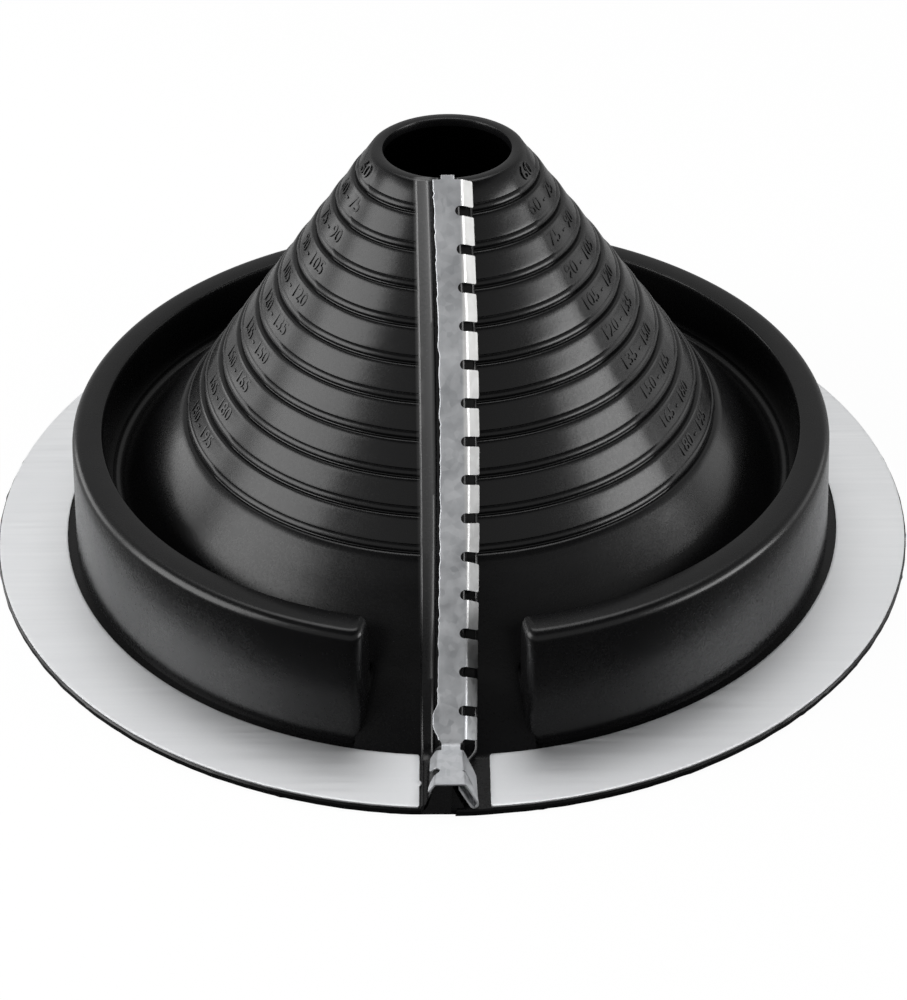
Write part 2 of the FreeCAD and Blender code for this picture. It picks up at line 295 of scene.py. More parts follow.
def new_tree(name, inputs):
    """Geometry tree with a geometry input, named inputs and a geometry output."""
    tree = bpy.data.node_groups.new(name, "GeometryNodeTree")
    tree.interface.new_socket("Geometry", in_out="INPUT", socket_type="NodeSocketGeometry")
    for label, kind in inputs:
        tree.interface.new_socket(label, in_out="INPUT", socket_type="NodeSocket" + kind)
    tree.interface.new_socket("Geometry", in_out="OUTPUT", socket_type="NodeSocketGeometry")
    return tree, tree.nodes.new("NodeGroupInput"), tree.nodes.new("NodeGroupOutput")


def node(tree, kind, feeds=None, **settings):
    """Add a node; feeds maps an input's name or number to a value or an output."""
    made = tree.nodes.new(kind)
    for key, value in settings.items():
        setattr(made, key, value)
    for key, value in (feeds or {}).items():
        if isinstance(value, bpy.types.NodeSocket):
            tree.links.new(value, made.inputs[key])
        else:
            made.inputs[key].default_value = value
    return made


def math_node(tree, operation, first, second=0.0):
    return node(tree, "ShaderNodeMath", {0: first, 1: second}, operation=operation).outputs[0]


def finish_tree(tree, enter, leave, geometry):
    """Close a tree with Realize Instances and Set Material."""
    real = node(tree, "GeometryNodeRealizeInstances", {"Geometry": geometry})
    painted = node(tree, "GeometryNodeSetMaterial",
                   {"Geometry": real.outputs[0], "Material": enter.outputs["Material"]})
    tree.links.new(painted.outputs[0], leave.inputs[0])


def turning_tree():
    """Turn a profile polyline about Z, column by column."""
    tree, enter, leave = new_tree("turned profile", [("Segments", "Int"), ("Start", "Float"),
                                                     ("Sweep", "Float"), ("Material", "Material")])
    size = node(tree, "GeometryNodeAttributeDomainSize", {"Geometry": enter.outputs["Geometry"]})
    count = size.outputs["Point Count"]
    columns = math_node(tree, "ADD", enter.outputs["Segments"], 1.0)
    grid = node(tree, "GeometryNodeMeshGrid", {"Vertices X": columns, "Vertices Y": count})
    index = node(tree, "GeometryNodeInputIndex").outputs[0]
    row = math_node(tree, "MODULO", index, count)
    column = math_node(tree, "FLOOR", math_node(tree, "DIVIDE", index, count))
    place = node(tree, "GeometryNodeInputPosition").outputs[0]
    sample = node(tree, "GeometryNodeSampleIndex",
                  {"Geometry": enter.outputs["Geometry"], "Value": place, "Index": row},
                  data_type="FLOAT_VECTOR")
    share = math_node(tree, "DIVIDE", column, enter.outputs["Segments"])
    turn = math_node(tree, "MULTIPLY", share, enter.outputs["Sweep"])
    angle = math_node(tree, "ADD", turn, enter.outputs["Start"])
    turned = node(tree, "ShaderNodeVectorRotate", {"Vector": sample.outputs[0], "Angle": angle},
                  rotation_type="Z_AXIS")
    moved = node(tree, "GeometryNodeSetPosition",
                 {"Geometry": grid.outputs["Mesh"], "Position": turned.outputs[0]})
    finish_tree(tree, enter, leave, moved.outputs[0])
    return tree


def repeating_tree():
    """Repeat one module along Y at a pitch."""
    tree, enter, leave = new_tree("strip teeth", [("Count", "Int"), ("Pitch", "Float"),
                                                  ("Material", "Material")])
    step = node(tree, "ShaderNodeCombineXYZ", {"Y": enter.outputs["Pitch"]})
    line = node(tree, "GeometryNodeMeshLine",
                {"Count": enter.outputs["Count"], "Offset": step.outputs[0]})
    copies = node(tree, "GeometryNodeInstanceOnPoints",
                  {"Points": line.outputs[0], "Instance": enter.outputs["Geometry"]})
    finish_tree(tree, enter, leave, copies.outputs[0])
    return tree


def baked(tree, mesh, values):
    """Plain mesh that a tree makes from a mesh, with its named inputs set."""
    piece = new_object("work_" + mesh.name, mesh)
    modifier = piece.modifiers.new("Shape", "NODES")
    modifier.node_group = tree
    for item in tree.interface.items_tree:
        if item.item_type == "SOCKET" and item.in_out == "INPUT" and item.name in values:
            modifier[item.identifier] = values[item.name]
    return evaluated(piece)


# Materials --------------------------------------------------------------------

def new_material(name, **principled):
    material = bpy.data.materials.new(name)
    material.use_nodes = True
    shader = material.node_tree.nodes["Principled BSDF"]
    for key, value in principled.items():
        shader.inputs[key.replace("_", " ")].default_value = value
    return material, material.node_tree, shader


def object_noise(tree, scale, detail=3.0, stretch=(1.0, 1.0, 1.0)):
    """Noise on the piece's own coordinates; scale is per metre."""
    place = node(tree, "ShaderNodeTexCoord").outputs["Object"]
    mapped = node(tree, "ShaderNodeMapping", {"Vector": place, "Scale": stretch})
    return node(tree, "ShaderNodeTexNoise",
                {"Vector": mapped.outputs[0], "Scale": scale, "Detail": detail}).outputs["Fac"]


def ranged(tree, value, low, high, start=0.3, end=0.7):
    """From low to high as the value runs from start to end."""
    return node(tree, "ShaderNodeMapRange", {"Value": value, "From Min": start, "From Max": end,
                                             "To Min": low, "To Max": high}).outputs[0]


def mixed(tree, share, first, second):
    """Colour between two, by a share of the second."""
    return node(tree, "ShaderNodeMix", {"Factor": share, 6: first, 7: second},
                data_type="RGBA").outputs[2]


def grey(level):
    return (level, level, level, 1.0)


def own_place(tree):
    """The piece's own coordinates in metres: as one vector, and as X, Y and Z."""
    place = node(tree, "ShaderNodeTexCoord").outputs["Object"]
    return place, node(tree, "ShaderNodeSeparateXYZ", {"Vector": place}).outputs


def product(tree, first, second):
    return math_node(tree, "MULTIPLY", first, second)


def total(tree, first, second):
    return math_node(tree, "ADD", first, second)


def bumped(tree, height, strength, distance, **more):
    feeds = {"Height": height, "Strength": strength, "Distance": distance, **more}
    return node(tree, "ShaderNodeBump", feeds).outputs[0]


def set_looks(tree, shader, tone, rough, normal):
    for key, output in (("Base Color", tone), ("Roughness", rough), ("Normal", normal)):
        tree.links.new(output, shader.inputs[key])


def rubber_material():
    """Satin black rubber, with a painted highlight that makes the band left of the strip paler up
    the cone.
    """
    material, tree, shader = new_material("moulded rubber", Roughness=0.32,
                                          Specular_IOR_Level=0.27)
    broad = object_noise(tree, 26.0, 2.0)
    fine = object_noise(tree, 900.0, 3.0)
    tone = mixed(tree, broad, (0.0020, 0.0020, 0.0022, 1.0), (0.0042, 0.0042, 0.0045, 1.0))
    rough = total(tree, ranged(tree, broad, 0.24, 0.29), ranged(tree, fine, -0.02, 0.03))
    parts = own_place(tree)[1]
    # Painted highlight: the band left of the strip is lightened towards grey, more so up the cone.
    off_middle = math_node(tree, "ABSOLUTE", total(tree, parts["X"], 0.0085))
    across = ranged(tree, off_middle, 1.0, 0.0, 0.002, 0.0035)
    up_cone = ranged(tree, parts["Z"], 0.0, 1.0, 0.015, 0.14)
    in_front = ranged(tree, parts["Y"], 1.0, 0.0, -0.023, -0.022)
    band_highlight = product(tree, product(tree, across, up_cone), in_front)
    tone = mixed(tree, band_highlight, tone, grey(0.10))
    grain = bumped(tree, fine, 0.06, 0.0003)
    wave = bumped(tree, object_noise(tree, 60.0, 2.0), 0.12, 0.0012, Normal=grain)
    set_looks(tree, shader, tone, rough, wave)
    return material


def ring_material():
    """Rolled aluminium with fine streaks, and painted shade that darkens it towards the split."""
    material, tree, shader = new_material("rolled aluminium", Metallic=1.0, Roughness=0.55)
    streaks = object_noise(tree, 18.0, 6.0, (1.0, 26.0, 1.0))
    cloud = object_noise(tree, 14.0, 3.0)
    grain = object_noise(tree, 1400.0, 2.0)
    tone = mixed(tree, streaks, (0.80, 0.81, 0.82, 1.0), (0.93, 0.935, 0.94, 1.0))
    tone = mixed(tree, ranged(tree, cloud, 0.0, 0.35), tone, (0.74, 0.75, 0.77, 1.0))
    # Painted shade: the ring is darkened towards the split at the front.
    split_shade = ranged(tree, own_place(tree)[1]["Y"], 0.3, 0.0, -0.15, -0.03)
    tone = mixed(tree, split_shade, tone, (0.55, 0.56, 0.58, 1.0))
    rough = total(tree, ranged(tree, streaks, 0.50, 0.60), ranged(tree, grain, -0.03, 0.03))
    set_looks(tree, shader, tone, rough, bumped(tree, streaks, 0.12, 0.0003))
    return material


def zinc_material():
    """Dull zinc with a faint spangle, and painted light that makes the open leg brighter up the
    cone.
    """
    material, tree, shader = new_material("zinc coated sheet", Metallic=1.0, Roughness=0.32)
    place, parts = own_place(tree)
    spangle = node(tree, "ShaderNodeTexVoronoi", {"Vector": place, "Scale": 420.0}).outputs["Color"]
    flake = node(tree, "ShaderNodeSeparateColor", {"Color": spangle}).outputs[0]
    cloud = object_noise(tree, 120.0, 4.0)
    tone = mixed(tree, ranged(tree, cloud, 0.0, 1.0), (0.37, 0.38, 0.395, 1.0),
                 (0.52, 0.53, 0.545, 1.0))
    # Painted light: the open leg runs from dark low down to bright up the cone.
    open_leg = ranged(tree, parts["X"], 0.0, 1.0, 0.0042, 0.005)
    off_saddle = ranged(tree, parts["Y"], 0.0, 1.0, -0.150, -0.147)
    up_cone = ranged(tree, parts["Z"], 0.0, 1.0, 0.0, 0.11)
    leg_painted_light = mixed(tree, up_cone, (0.26, 0.265, 0.27, 1.0), (0.72, 0.72, 0.71, 1.0))
    tone = mixed(tree, product(tree, open_leg, off_saddle), tone, leg_painted_light)
    tone = mixed(tree, ranged(tree, flake, 0.0, 0.16, 0.0, 1.0), tone, (0.95, 0.95, 0.96, 1.0))
    rough = total(tree, ranged(tree, cloud, 0.50, 0.60),
                  ranged(tree, flake, -0.03, 0.03, 0.0, 1.0))
    set_looks(tree, shader, tone, rough, bumped(tree, cloud, 0.10, 0.0003))
    return material


RUBBER = rubber_material()
ALUMINIUM = ring_material()
ZINC = zinc_material()
TURNING = turning_tree()
REPEATING = repeating_tree()


# Rubber moulding --------------------------------------------------------------

def turned(name, profile, start=0.0, sweep=360.0, segments=SEGMENTS):
    """Closed mesh of a closed (radius, height) profile turned about the cone's axis."""
    points = [(0.0, -radius, height) for radius, height in profile + profile[:1]]
    line = mesh_from(name, points, edges=[(i, i + 1) for i in range(len(profile))])
    mesh = baked(TURNING, line, {"Segments": segments, "Start": math.radians(start),
                                 "Sweep": math.radians(sweep), "Material": RUBBER})
    return closed_up(mesh)


def step_profile():
    """Outer line of the stepped cone as (run, lift) points, groove by groove.

    A step is a ledge and crest below its groove, a plain band, a fine trim
    line and the rib that ends at the next groove.
    """
    below = [(0.12, -GROOVE_DEPTH), (0.42, -0.25), (0.62, 0.1), (0.85, 0.3), (1.3, 0.45),
             (2.0, 0.5), (3.0, 0.46), (4.2, 0.38), (6.5, 0.25), (8.4, 0.14), (9.3, 0.08)]
    above = [(-TRIM_LINE_RISE - 0.35, 0.02), (-TRIM_LINE_RISE - 0.12, -0.04),
             (-TRIM_LINE_RISE, -TRIM_LINE_DEPTH), (-TRIM_LINE_RISE + 0.12, 0.0),
             (-TRIM_LINE_RISE + 0.45, 0.16), (-1.7, 0.24), (-1.0, 0.16), (-0.62, 0.0),
             (-0.4, -0.3), (-0.12, -GROOVE_DEPTH)]
    points = [(0.9, 0.0), (4.0, 0.0)]
    for groove in GROOVES:
        points += [(groove + run, lift) for run, lift in above]
        if groove != GROOVES[-1]:
            points += [(groove + run, lift) for run, lift in below]
    return points + [(CONE_RUN + 0.12, -GROOVE_DEPTH), (CONE_RUN + 0.42, -0.25),
                     (CONE_RUN + 0.7, 0.1)]


def cone_profile(foot_radius):
    """Closed profile of the cone and skirt wall, down to a radius on the skirt."""
    outer = [(BORE_RADIUS + LIP_ROUND, CONE_HEIGHT), (LIP_RADIUS - LIP_ROUND, CONE_HEIGHT),
             (LIP_RADIUS - 0.3 * LIP_ROUND, CONE_HEIGHT - 0.25 * LIP_ROUND)]
    outer += [cone_point(run, lift) for run, lift in step_profile()]
    start = CONE_FOOT[0] + 1.2
    for radius, lift in ((start, 0.28), (start + 1.5, 0.3), (start + 4.0, 0.1), (start + 9.0, 0.0)):
        outer.append((radius, skirt_height(radius, lift)))
    outer.append((foot_radius, skirt_height(foot_radius)))
    wall = RUBBER_WALL
    knee = (CONE_FOOT[0] - wall * sind(CONE_SLOPE), CONE_FOOT[1] - wall * cosd(CONE_SLOPE))
    throat_radius = (LIP_RADIUS - wall / sind(CONE_SLOPE)
                     + THROAT_DEPTH / math.tan(math.radians(CONE_SLOPE)))
    inner = [(foot_radius, skirt_height(foot_radius, -wall)), knee,
             (throat_radius, CONE_HEIGHT - THROAT_DEPTH), (BORE_RADIUS, CONE_HEIGHT - LIP_LAND),
             (BORE_RADIUS, CONE_HEIGHT - LIP_ROUND),
             (BORE_RADIUS + 0.25 * LIP_ROUND, CONE_HEIGHT - 0.25 * LIP_ROUND)]
    return outer + inner


def label_share(azimuth):
    """1 well inside a zone of the size numbers, 0 outside them all."""
    return max(1.0 - smoothstep(half - 1.5, half + 1.5, abs(azimuth - middle))
               for middle, half in LABEL_ZONES)


def dress_cone(mesh):
    """Soften the steps inside the zones of the size numbers, and give the bands a faint waviness.
    """
    for point in mesh.vertices:
        x, y, z = (value / MM for value in point.co)
        radius = math.hypot(x, y)
        azimuth = math.degrees(math.atan2(x, -y))
        run = (radius - LIP_RADIUS) * cosd(CONE_SLOPE) + (CONE_HEIGHT - z) * sind(CONE_SLOPE)
        lift = (radius - LIP_RADIUS) * sind(CONE_SLOPE) - (CONE_HEIGHT - z) * cosd(CONE_SLOPE)
        if run < 2.0 or run > CONE_RUN + 2.0 or lift < -1.5:
            continue
        share = label_share(azimuth)
        phase = (run - FIRST_GROOVE) % STEP_PITCH
        before = STEP_PITCH - phase
        change = 0.0
        if share > 0.0:
            if abs(before - TRIM_LINE_RISE) < 0.2:
                change = -lift * share
            if before < TRIM_LINE_RISE + 0.6:
                change -= 0.3 * share * smoothstep(TRIM_LINE_RISE + 0.6, 1.2, before)
            change -= 0.16 * share * smoothstep(1.5, 2.6, phase) * smoothstep(9.8, 8.6, phase)
        wave = noise.noise(Vector((x, y, z)) * 0.035) * 0.12
        change += wave * smoothstep(0.8, 2.0, phase) * smoothstep(1.0, 2.5, before)
        radius += change * sind(CONE_SLOPE)
        z += change * cosd(CONE_SLOPE)
        point.co = around(radius, azimuth, z) * MM


def open_split(mesh, slant=0.0):
    """Give the two ends of a turned wall the split's even width, leaning by a slant."""
    half = SPLIT_WIDTH / 2
    for point in mesh.vertices:
        x, y = point.co.x / MM, point.co.y / MM
        radius = math.hypot(x, y)
        if y < 0 and abs(abs(x) - radius * sind(SPLIT_ANGLE)) < 0.01:
            side = math.copysign(half, x)
            point.co.x = (side + slant * point.co.z / MM) * MM
            point.co.y = -math.sqrt(radius * radius - half * half) * MM


def flange_mesh():
    """Flat flange with a slightly uneven moulded edge."""
    edge = FLANGE_RADIUS - EDGE_FLASH
    inner = UPSTAND_FOOT_RADIUS - RUBBER_WALL
    profile = [(inner, 0.0), (inner, FLANGE_THICKNESS), (edge - 0.5, FLANGE_THICKNESS),
               (edge, FLANGE_THICKNESS - 0.45), (edge, FLANGE_THICKNESS / 2), (edge, 0.3),
               (edge - 0.3, 0.0)]
    mesh = turned("flange", profile, SPLIT_ANGLE, 360.0 - 2 * SPLIT_ANGLE, 2 * SEGMENTS)
    for point in mesh.vertices:
        x, y, z = (value / MM for value in point.co)
        radius = math.hypot(x, y)
        if radius < edge - 1.0:
            continue
        azimuth = math.degrees(math.atan2(x, -y))
        rough = noise.noise(Vector((azimuth * 0.45, 0.0, 3.0)))
        nib = smoothstep(0.42, 0.62, noise.noise(Vector((azimuth * 0.9, 7.0, z * 0.3))))
        grow = max(-0.25, min(EDGE_FLASH, 0.22 * rough + 0.3 * nib))
        if abs(azimuth) < 6.0:
            grow = (EDGE_FLASH if azimuth > 0.0 else -0.5) * smoothstep(6.0, 1.5, abs(azimuth))
        point.co = around(radius + grow, azimuth, z) * MM
    open_split(mesh, 0.25)
    return mesh


def upstand_loop(outer, inner, end_inset, heights):
    """One level of the upstand: its C-shaped outline with rounded corners.

    heights gives the height on the outer arc and a rule for the rest, by radius.
    """
    outer_height, height_at = heights
    start = UPSTAND_END_RIGHT + math.degrees(end_inset / outer)
    stop = 360.0 - UPSTAND_END_LEFT - math.degrees(end_inset / outer)
    outer_round = max(END_OUTER_ROUND - end_inset, 0.4)
    inner_round = max(END_INNER_ROUND - end_inset, 0.4)
    outer_trim = math.degrees(outer_round / outer)
    inner_trim = math.degrees(inner_round / inner)
    loop = []
    for i in range(ARC_STEPS + 1):
        azimuth = blend(start + outer_trim, stop - outer_trim, i / ARC_STEPS)
        loop.append(around(outer, azimuth, outer_height))

    def corner(radius, azimuth, side, size, turn):
        """Rounded corner; side is the way along the arc, turn the way in radius."""
        found = []
        for k in range(1, ROUND_STEPS):
            angle = math.radians(90.0 * k / ROUND_STEPS)
            near = size * (1.0 - math.cos(angle))
            far = size * (1.0 - math.sin(angle))
            along, across = (far, near) if turn < 0 else (near, far)
            place = azimuth - side * math.degrees(along / radius)
            level = radius + turn * across
            found.append(around(level, place, height_at(level)))
        return found

    span = outer - inner - outer_round - inner_round
    for azimuth, side in ((stop, 1.0), (start, -1.0)):
        part = corner(outer, azimuth, side, outer_round, -1.0)
        for k in range(ROUND_STEPS + 1):
            level = outer - outer_round - span * k / ROUND_STEPS
            part.append(around(level, azimuth, height_at(level)))
        part += corner(inner, azimuth, side, inner_round, 1.0)
        if side > 0:
            loop += part
            for i in range(ARC_STEPS + 1):
                azimuth_in = blend(stop - inner_trim, start + inner_trim, i / ARC_STEPS)
                loop.append(around(inner, azimuth_in, height_at(inner)))
        else:
            loop += reversed(part)
    return loop


def upstand_mesh():
    """Hollow C-shaped upstand: outside, rim, inside of the channel, closed below."""
    top = UPSTAND_HEIGHT
    lean = UPSTAND_FOOT_RADIUS - UPSTAND_RIM_RADIUS

    def sides(height, inset):
        drop = 1.0 - height / top
        return (UPSTAND_RIM_RADIUS + lean * drop - inset,
                UPSTAND_RIM_RADIUS - RIM_WIDTH - INNER_WALL_LEAN * drop + inset)

    def level(height, outer_cut=0.0, inner_cut=0.0, end_cut=0.0):
        outer, inner = sides(height, 0.0)
        return upstand_loop(outer - outer_cut, inner + inner_cut, end_cut,
                            (height, lambda radius: height))

    def foot(inset, outer_height, sink):
        outer, inner = sides(12.0, inset)
        outer = sides(outer_height, inset)[0]
        return upstand_loop(outer, inner, inset,
                            (outer_height, lambda radius: skirt_height(radius, -sink)))

    loops = [foot(0.0, 0.6, 1.6)]
    for height in (30.0, 38.0):
        loops.append(level(height))
    for k in range(ROUND_STEPS + 1):
        angle = math.radians(90.0 * k / ROUND_STEPS)
        outer_cut = RIM_OUTER_ROUND * (1.0 - math.cos(angle))
        inner_cut = RIM_INNER_ROUND * (1.0 - math.cos(angle))
        height = top - RIM_OUTER_ROUND * (1.0 - math.sin(angle))
        loops.append(level(height, outer_cut, inner_cut, 0.8 * outer_cut))
    crown = len(loops) - 1
    loops.append(level(top - RUBBER_WALL, RUBBER_WALL, RUBBER_WALL, RUBBER_WALL))
    loops.append(foot(RUBBER_WALL, 0.0, 2.4))

    points = [point for loop in loops for point in loop]
    size = len(loops[0])
    faces = grid_faces(len(loops), size, True, lambda i, j: i == crown)
    last = (len(loops) - 1) * size
    for i in range(size):
        near = (i + 1) % size
        faces.append((last + i, last + near, near, i))
    arc = ARC_STEPS + 1
    end = 3 * ROUND_STEPS - 1
    for base in (crown * size, (crown + 1) * size):
        for i in range(arc - 1):
            across = arc + end + (arc - 1 - i)
            faces.append((base + i, base + i + 1, base + across - 1, base + across))
        faces.append(tuple(base + k for k in range(arc - 1, arc + end + 1)))
        second_end = range(2 * arc + end - 1, 2 * arc + 2 * end)
        faces.append(tuple(base + k for k in (*second_end, 0)))
    return closed_up(mesh_from("upstand", points, faces))


def valley_mesh():
    """Rounded valley between the upstand's inner wall and the skirt."""
    wedge = math.radians(90.0 - SKIRT_SLOPE + 1.5)
    reach = VALLEY_ROUND / math.tan(wedge / 2)
    stop = 360.0 - UPSTAND_END_LEFT
    trim = math.degrees(END_INNER_ROUND / UPSTAND_INNER_FOOT)

    def end_stations(azimuth, side):
        """Stations round one end, from the far side of its corner to the arc."""
        found = []
        for k in range(ROUND_STEPS, 0, -1):
            angle = math.radians(90.0 * k / ROUND_STEPS)
            place = azimuth - side * trim * (1.0 - math.sin(angle))
            radius = UPSTAND_INNER_FOOT + END_INNER_ROUND * (1.0 - math.cos(angle))
            found.append((radius, place, math.degrees(angle) * side, 1.0 - 0.06 * k))
        for k in range(1, 4):
            found.insert(0, (UPSTAND_INNER_FOOT + END_INNER_ROUND + k * 1.3, azimuth,
                             90.0 * side, 0.62 - 0.17 * k))
        return found

    path = end_stations(UPSTAND_END_RIGHT, -1.0)
    for i in range(ARC_STEPS + 1):
        place = blend(UPSTAND_END_RIGHT + trim, stop - trim, i / ARC_STEPS)
        path.append((UPSTAND_INNER_FOOT, place, 0.0, 1.0))
    path += reversed(end_stations(stop, 1.0))

    points = []
    for radius, azimuth, turn, scale in path:
        corner = skirt_height(radius)
        outline = []
        for k in range(9):
            angle = math.pi - (math.pi - wedge) * k / 8
            inward = VALLEY_ROUND * (1.0 + math.cos(angle))
            rise = reach - VALLEY_ROUND * math.sin(angle)
            outline.append((inward, rise))
        outline.append((outline[-1][0] - 0.6, outline[-1][1] - 1.8))
        outline.append((-1.2, -1.2))
        outline.append((-1.2, reach))
        direction = azimuth + turn
        for inward, rise in outline:
            base = around(radius, azimuth, corner + (rise + 0.05) * scale)
            points.append(base + around(-inward * scale, direction, 0.0))
    faces = grid_faces(len(path), len(outline), True)
    return closed_up(mesh_from("valley", points, faces))


# Seam: band, beads and strip --------------------------------------------------

def seam_path():
    """Stations (radius, height, normal angle, crown length) from the lip to the edge."""
    corners = [cone_point(-3.0), CONE_FOOT, SKIRT_FOOT, (FLANGE_RADIUS + 6.0, FLANGE_THICKNESS)]
    slopes = [CONE_SLOPE, SKIRT_SLOPE, 0.0]
    rounds = [SEAM_KNEE_ROUND, SEAM_FOOT_ROUND]
    stations = []
    begin = corners[0]
    for k in range(3):
        slope = slopes[k]
        finish = corners[k + 1]
        if k < 2:
            turn = slope - slopes[k + 1]
            reach = rounds[k] * math.tan(math.radians(turn / 2))
            finish = (finish[0] - reach * cosd(slope), finish[1] + reach * sind(slope))
        length = math.hypot(finish[0] - begin[0], finish[1] - begin[1])
        count = max(2, int(length / SEAM_STEP))
        for i in range(count):
            share = i / count
            stations.append((blend(begin[0], finish[0], share),
                             blend(begin[1], finish[1], share), slope))
        if k < 2:
            centre = (finish[0] + rounds[k] * sind(slope), finish[1] + rounds[k] * cosd(slope))
            for i in range(BEND_STEPS):
                angle = slope - turn * i / BEND_STEPS
                stations.append((centre[0] - rounds[k] * sind(angle),
                                 centre[1] - rounds[k] * cosd(angle), angle))
            begin = (centre[0] - rounds[k] * sind(slopes[k + 1]),
                     centre[1] - rounds[k] * cosd(slopes[k + 1]))
    stations.append((corners[-1][0], corners[-1][1], 0.0))
    return stations


SEAM = seam_path()


def lifted(station, lift):
    radius, height, slope = station
    return radius + lift * sind(slope), height + lift * cosd(slope)


def crown_lengths():
    """Distance along the strip's crown at each station, zero at the lip."""
    lengths = [0.0]
    for before, after in zip(SEAM, SEAM[1:]):
        a = lifted(before, CROWN_TOP)
        b = lifted(after, CROWN_TOP)
        lengths.append(lengths[-1] + math.hypot(b[0] - a[0], b[1] - a[1]))
    return [length - 3.0 for length in lengths]


CROWN_LENGTHS = crown_lengths()


def bow(length):
    """How far the seam strays to the right at a crown length."""
    return SEAM_BOW * math.sin(math.pi * length / SEAM_BOW_SPAN)


def station_at(length):
    """Station at a distance along the crown."""
    for i in range(len(SEAM) - 1):
        if CROWN_LENGTHS[i + 1] >= length or i == len(SEAM) - 2:
            span = CROWN_LENGTHS[i + 1] - CROWN_LENGTHS[i]
            share = (length - CROWN_LENGTHS[i]) / span
            return tuple(blend(a, b, share) for a, b in zip(SEAM[i], SEAM[i + 1]))


def seam_point(x, station, lift, lean=0.0):
    radius, height = lifted(station, lift)
    return Vector((x, -(radius - lean * lift), height))


SADDLE_START_RADIUS = SKIRT_FOOT_RADIUS + SADDLE_RUN_IN


def seat_share(radius):
    """0 before the flange, 1 from the saddle's start on."""
    return smoothstep(SKIRT_FOOT_RADIUS - 2.0, SADDLE_START_RADIUS, radius)


def bead_outline(side, share, radius, stray):
    """Half of the band and bead beside the split, from the split face outwards."""
    end_top, end_foot, end_edge = BEAD_END[side]
    top = blend(BEAD_TOP_HALF_WIDTH, end_top, share)
    foot = blend(BEAD_FOOT_HALF_WIDTH, end_foot, share)
    edge = blend(BAND_HALF_WIDTH if side < 0 else RIGHT_BAND_HALF_WIDTH, end_edge, share)
    shift = -SADDLE_SHIFT * share
    face = SPLIT_WIDTH / 2
    ridge = blend(6.6, foot + 0.6, share)
    rise = blend(0.55, 0.0, share) if side < 0 else -0.2
    ripple = 0.12 * noise.noise(Vector((side * 4.0, radius * 0.16, 0.0))) * (1.0 - share)
    half = [(face - shift * side, -BEAD_CORE_DEPTH), (face - shift * side, BEAD_HEIGHT - 0.3),
            (face + 0.3 - shift * side * 0.6, BEAD_HEIGHT),
            (top - 0.5, BEAD_HEIGHT), (top, BEAD_HEIGHT - 0.5), (foot, BAND_HEIGHT + 0.5),
            (foot + 0.35, BAND_HEIGHT - 0.15), (ridge - 0.7, BAND_HEIGHT - 0.2),
            (ridge - 0.25, BAND_HEIGHT + rise), (ridge + 0.15, BAND_HEIGHT + rise),
            (ridge + 0.7, BAND_HEIGHT + (0.12 if side < 0 else -0.2) * (1 - share)),
            (blend(ridge, edge, 0.55), BAND_HEIGHT - 0.05),
            (edge - 0.75 + ripple, BAND_HEIGHT - 0.12), (edge - 0.2 + ripple, BAND_HEIGHT - 0.55),
            (edge + ripple, BAND_HEIGHT - 1.1), (edge + ripple, -BEAD_CORE_DEPTH)]
    outline = []
    for x, lift in half:
        follow = 1.0 - 0.7 * smoothstep(4.0, BAND_HALF_WIDTH, x)
        slant = SPLIT_SLANT * lift if abs(x - half[0][0]) < 0.01 else 0.0
        outline.append((shift + side * x + stray * follow + slant, lift))
    return outline


def bar_mesh(side):
    """Band and bead on one side of the split, along the whole seam."""
    end = FLANGE_RADIUS - SHEET - (RIGHT_BEAD_SETBACK if side > 0 else 0.0)
    stations = [s for s in SEAM if LIP_RADIUS - 0.4 < s[0] < end - 0.2]
    stations.append((end, FLANGE_THICKNESS, 0.0))
    points = []
    for station in stations:
        share = seat_share(station[0])
        lean = SADDLE_SETBACK / CROWN_TOP * smoothstep(SADDLE_START_RADIUS, FLANGE_RADIUS - SHEET,
                                                       station[0])
        stray = bow(crown_length_at(station[0]))
        for x, lift in bead_outline(side, share, station[0], stray):
            points.append(seam_point(x, station, lift, lean))
    size = len(bead_outline(side, 0.0, 0.0, 0.0))
    faces = grid_faces(len(stations), size, True)
    return closed_up(mesh_from("bar", points, faces))


def rubber_piece():
    cone = turned("cone", cone_profile(UPSTAND_INNER_FOOT + 2.6), SPLIT_ANGLE,
                  360.0 - 2 * SPLIT_ANGLE)
    dress_cone(cone)
    open_split(cone)
    start = UPSTAND_INNER_FOOT + 1.0
    apron = [(start, skirt_height(start)), (SKIRT_FOOT_RADIUS - 1.2,
                                            skirt_height(SKIRT_FOOT_RADIUS - 1.2, 0.06)),
             (SKIRT_FOOT_RADIUS + 0.4, FLANGE_THICKNESS + 0.35),
             (SKIRT_FOOT_RADIUS + 1.6, FLANGE_THICKNESS - 0.05),
             (SKIRT_FOOT_RADIUS + 1.6, 1.0), (UPSTAND_FOOT_RADIUS - RUBBER_WALL, 0.8),
             (start, skirt_height(start, -RUBBER_WALL))]
    left = turned("apron_left", apron, -UPSTAND_END_LEFT - 1.0,
                  UPSTAND_END_LEFT + 1.0 - SPLIT_ANGLE, 24)
    right = turned("apron_right", apron, SPLIT_ANGLE, UPSTAND_END_RIGHT + 1.0 - SPLIT_ANGLE, 24)
    for mesh in (left, right):
        open_split(mesh)
    skin = joined("rubber_skin", [cone, left, right, flange_mesh(), upstand_mesh(), valley_mesh(),
                                  bar_mesh(-1.0), bar_mesh(1.0)])
    return new_object("rubber_skin", shaded(skin, 34.0))


# Size numbers -----------------------------------------------------------------

def number_mesh(words, size):
    """Flat raised text as a mesh, centred on its origin, in millimetres."""
    text = bpy.data.curves.new("number", "FONT")
    text.body = words
    text.size = size
    text.align_x = "CENTER"
    text.align_y = "CENTER"
    text.extrude = 0.5
    text.resolution_u = 3
    return evaluated(new_object("number", text))


